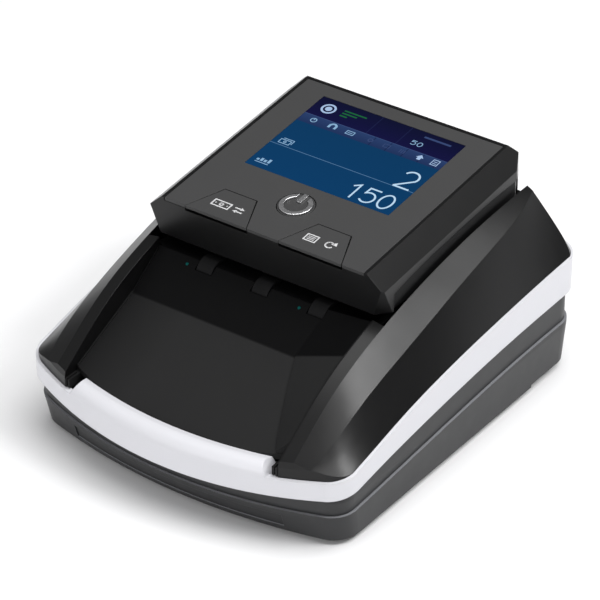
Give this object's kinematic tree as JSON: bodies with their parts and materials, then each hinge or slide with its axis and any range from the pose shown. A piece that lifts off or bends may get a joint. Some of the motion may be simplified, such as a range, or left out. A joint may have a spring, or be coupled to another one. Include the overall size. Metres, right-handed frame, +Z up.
{
  "type": "counterfeit bill detector",
  "caption": "Wedge-shaped desktop note checker: sloped feed tray, hinged head with display and keys, driven rollers.",
  "frame": {"origin": "centre of the footprint's bounding box, on the table the rubber feet stand on", "axes": "+X to the user's right, +Y from the feed tray to the rear, +Z up"},
  "size_m": [0.1338, 0.1606, 0.0871],
  "materials": {
    "housing_black": "glossy moulded black plastic",
    "tray_black": "fine satin texture",
    "base_grey": "fine mould texture, dark grey",
    "band_white": "smooth white plastic",
    "panel_grey": "satin dark grey film",
    "skirt_black": "satin black",
    "key_grey": "satin dark grey",
    "bright_metal": "bright plated",
    "screen_glass": "lit colour display under a smooth window",
    "clear_window": "smoked clear window",
    "led_teal": "small lit lens",
    "rubber_black": "matt rubber",
    "roller_grey": "grooved soft rubber",
    "steel": "turned steel",
    "zinc_plate": "zinc plated sheet",
    "motor_can": "drawn steel can",
    "board_green": "solder mask",
    "chip_black": "moulded chip package",
    "nylon_white": "moulded nylon",
    "brass_bush": "sintered bush",
    "cell_wrap": "shrink wrap",
    "port_metal": "stamped shell"
  },
  "bodies": {
    "base": {"base_shell": "base_grey", "battery_cover": "base_grey", "cover_screw": "steel", "battery_pack": "cell_wrap", "rubber_feet": "rubber_black", "case_screws": "steel", "dc_jack": "chip_black", "service_port": "port_metal", "trim_band": "band_white", "upper_housing": "housing_black", "feed_tray": "tray_black", "note_guide": "tray_black", "sensor_leds": "led_teal", "lower_guide": "tray_black", "sensor_windows": "clear_window", "sensor_board": "board_green", "sensor_chips": "chip_black", "left_side_plate": "zinc_plate", "right_side_plate": "zinc_plate", "shaft_bearings": "brass_bush", "encoder_sensor": "chip_black", "drive_belt": "rubber_black", "motor": "motor_can", "motor_mount": "zinc_plate", "main_board": "board_green", "board_chips": "chip_black", "board_posts": "nylon_white", "speaker": "chip_black", "hinge_lugs": "zinc_plate"},
    "head": {"head_cover": "housing_black", "head_lower": "skirt_black", "upper_guide": "tray_black", "head_frame": "nylon_white", "faceplate": "panel_grey", "display_glass": "screen_glass", "display_module": "motor_can", "display_board": "board_green", "key_board": "board_green", "key_switches": "chip_black", "magnetic_sensor": "motor_can", "hinge_pins": "steel"},
    "left_key_cap": {"left_key": "key_grey"},
    "right_key_cap": {"right_key": "key_grey"},
    "power_cap": {"power_button": "key_grey", "power_symbol": "bright_metal"},
    "front_drive": {"front_drive_shaft": "steel", "front_drive_rollers": "roller_grey", "front_pulley": "nylon_white"},
    "rear_drive": {"rear_drive_shaft": "steel", "rear_drive_rollers": "roller_grey", "rear_pulley": "nylon_white", "encoder_disc": "chip_black"},
    "motor_rotor": {"motor_shaft": "steel", "motor_pulley": "brass_bush"},
    "front_idler": {"front_pinch_shaft": "steel", "front_pinch_rollers": "roller_grey"},
    "rear_idler": {"rear_pinch_shaft": "steel", "rear_pinch_rollers": "roller_grey"}
  },
  "joints": [
    {"name": "head_hinge", "type": "hinge", "parent": "base", "child": "head", "pos_m": [0, 0.0706, 0.0636], "axis": [-1, 0, 0], "range_deg": [0, 60]},
    {"name": "left_key_press", "type": "slide", "parent": "head", "child": "left_key_cap", "axis": [0, 0.108, -0.9942], "range_m": [0, 0.0008], "stiffness_N_per_m": 400},
    {"name": "right_key_press", "type": "slide", "parent": "head", "child": "right_key_cap", "axis": [0, 0.108, -0.9942], "range_m": [0, 0.0008], "stiffness_N_per_m": 400},
    {"name": "power_press", "type": "slide", "parent": "head", "child": "power_cap", "axis": [0, 0.108, -0.9942], "range_m": [0, 0.0008], "stiffness_N_per_m": 400},
    {"name": "front_drive_spin", "type": "hinge", "parent": "base", "child": "front_drive", "pos_m": [0, -0.0165, 0.0522], "axis": [1, 0, 0], "continuous": true},
    {"name": "rear_drive_spin", "type": "hinge", "parent": "base", "child": "rear_drive", "pos_m": [0, 0.045, 0.0522], "axis": [1, 0, 0], "continuous": true},
    {"name": "motor_spin", "type": "hinge", "parent": "base", "child": "motor_rotor", "pos_m": [0, 0.014, 0.031], "axis": [1, 0, 0], "continuous": true},
    {"name": "front_idler_spin", "type": "hinge", "parent": "head", "child": "front_idler", "pos_m": [0, -0.0107, 0.06276], "axis": [1, 0, 0], "continuous": true},
    {"name": "rear_idler_spin", "type": "hinge", "parent": "head", "child": "rear_idler", "pos_m": [0, 0.045, 0.06425], "axis": [1, 0, 0], "continuous": true}
  ],
  "couplings": [
    {"joint": "rear_drive_spin", "follows": "front_drive_spin", "ratio": 1},
    {"joint": "motor_spin", "follows": "front_drive_spin", "ratio": 1}
  ]
}
